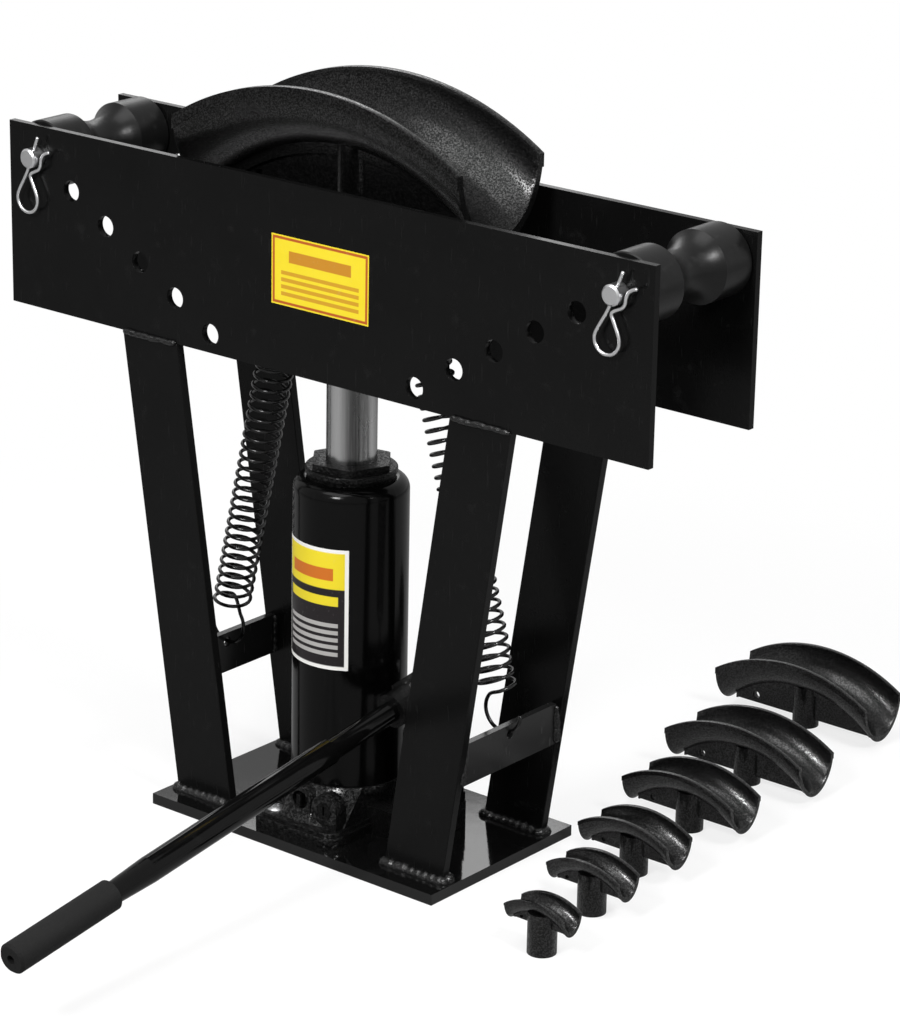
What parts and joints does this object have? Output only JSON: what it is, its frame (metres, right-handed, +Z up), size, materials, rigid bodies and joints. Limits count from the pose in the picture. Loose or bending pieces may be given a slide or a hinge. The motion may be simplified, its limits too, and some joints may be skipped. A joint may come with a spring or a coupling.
{
  "type": "hydraulic pipe bender",
  "caption": "Bottle-jack pipe bender: welded frame with drilled side plates, a curved grooved die on the ram, waisted rollers on pins, return springs, pump handle and loose dies.",
  "frame": {"origin": "centre of the base plate's underside", "axes": "+X along the side plates, +Y to the rear, +Z up; the pump handle points to -Y"},
  "size_m": [0.64, 0.8934, 0.6077],
  "materials": {
    "black_paint": "gloss black enamel over steel",
    "cast_black": "black paint over rough cast iron",
    "bright_steel": "ground and polished steel",
    "zinc_steel": "bright zinc plate",
    "rubber": "matt black rubber",
    "spring_steel": "blackened spring wire"
  },
  "bodies": {
    "frame": {"base_plate": "black_paint", "front_side_plate": "black_paint", "rear_side_plate": "black_paint", "front_left_leg": "black_paint", "front_right_leg": "black_paint", "rear_left_leg": "black_paint", "rear_right_leg": "black_paint", "left_crossbar": "black_paint", "right_crossbar": "black_paint", "jack_base": "cast_black", "jack_hold_down_screws": "zinc_steel", "reservoir": "black_paint", "reservoir_seal": "rubber", "pressure_cylinder": "bright_steel", "cap_nut": "cast_black", "wiper_seal": "rubber", "filler_plug": "rubber", "release_ball": "bright_steel", "safety_plug": "cast_black", "safety_ball": "bright_steel", "pump_cylinder": "cast_black", "pump_seal": "rubber", "fulcrum_bracket": "cast_black", "fulcrum_pin": "zinc_steel", "left_spring": "spring_steel", "right_spring": "spring_steel", "left_roller_pin": "zinc_steel", "right_roller_pin": "zinc_steel"},
    "ram": {"ram": "bright_steel", "piston_seal": "rubber", "spring_plate": "black_paint", "stud_collar": "cast_black"},
    "die": {"bending_die": "cast_black"},
    "left_roller": {"left_roller": "cast_black"},
    "right_roller": {"right_roller": "cast_black"},
    "left_clip": {"left_clip": "zinc_steel"},
    "right_clip": {"right_clip": "zinc_steel"},
    "handle": {"handle_socket": "cast_black", "handle_bar": "black_paint", "handle_tube": "black_paint", "handle_grip": "rubber"},
    "plunger": {"pump_plunger": "bright_steel", "plunger_pin": "zinc_steel"},
    "release_valve": {"release_valve": "cast_black"},
    "spare_die_1": {"spare_die_1": "cast_black"},
    "spare_die_2": {"spare_die_2": "cast_black"},
    "spare_die_3": {"spare_die_3": "cast_black"},
    "spare_die_4": {"spare_die_4": "cast_black"},
    "spare_die_5": {"spare_die_5": "cast_black"},
    "spare_die_6": {"spare_die_6": "cast_black"}
  },
  "joints": [
    {"name": "ram_lift", "type": "slide", "parent": "frame", "child": "ram", "axis": [0, 0, 1], "range_m": [-0.164, 0.04], "deforming": ["left_spring", "right_spring"]},
    {"name": "die_lift_off", "type": "slide", "parent": "ram", "child": "die", "axis": [0, 0, 1], "range_m": [0, 0.12]},
    {"name": "left_roller_spin", "type": "hinge", "parent": "frame", "child": "left_roller", "pos_m": [-0.2895, 0, 0.511], "axis": [0, 1, 0], "continuous": true},
    {"name": "right_roller_spin", "type": "hinge", "parent": "frame", "child": "right_roller", "pos_m": [0.2895, 0, 0.511], "axis": [0, 1, 0], "continuous": true},
    {"name": "pump_handle", "type": "hinge", "parent": "frame", "child": "handle", "pos_m": [0.067, 0.01871, 0.13489], "axis": [-1, 0, 0], "range_deg": [0, 35]},
    {"name": "plunger_stroke", "type": "slide", "parent": "frame", "child": "plunger", "axis": [0, 0, 1], "range_m": [0, 0.01643]},
    {"name": "release_turn", "type": "hinge", "parent": "frame", "child": "release_valve", "pos_m": [-0.007, -0.066, 0.037], "axis": [0, -1, 0], "range_deg": [0, 270]},
    {"name": "left_clip_pull", "type": "slide", "parent": "frame", "child": "left_clip", "axis": [-0.3746, 0, -0.9272], "range_m": [0, 0.045]},
    {"name": "right_clip_pull", "type": "slide", "parent": "frame", "child": "right_clip", "axis": [-0.3746, 0, -0.9272], "range_m": [0, 0.045]},
    {"name": "spare_die_1_lift", "type": "slide", "parent": "frame", "child": "spare_die_1", "axis": [0, 0, 1], "range_m": [0, 0.1]},
    {"name": "spare_die_2_lift", "type": "slide", "parent": "frame", "child": "spare_die_2", "axis": [0, 0, 1], "range_m": [0, 0.1]},
    {"name": "spare_die_3_lift", "type": "slide", "parent": "frame", "child": "spare_die_3", "axis": [0, 0, 1], "range_m": [0, 0.1]},
    {"name": "spare_die_4_lift", "type": "slide", "parent": "frame", "child": "spare_die_4", "axis": [0, 0, 1], "range_m": [0, 0.1]},
    {"name": "spare_die_5_lift", "type": "slide", "parent": "frame", "child": "spare_die_5", "axis": [0, 0, 1], "range_m": [0, 0.1]},
    {"name": "spare_die_6_lift", "type": "slide", "parent": "frame", "child": "spare_die_6", "axis": [0, 0, 1], "range_m": [0, 0.1]}
  ],
  "couplings": [
    {"joint": "plunger_stroke", "follows": "pump_handle", "m_per_rad": 0.0269}
  ]
}
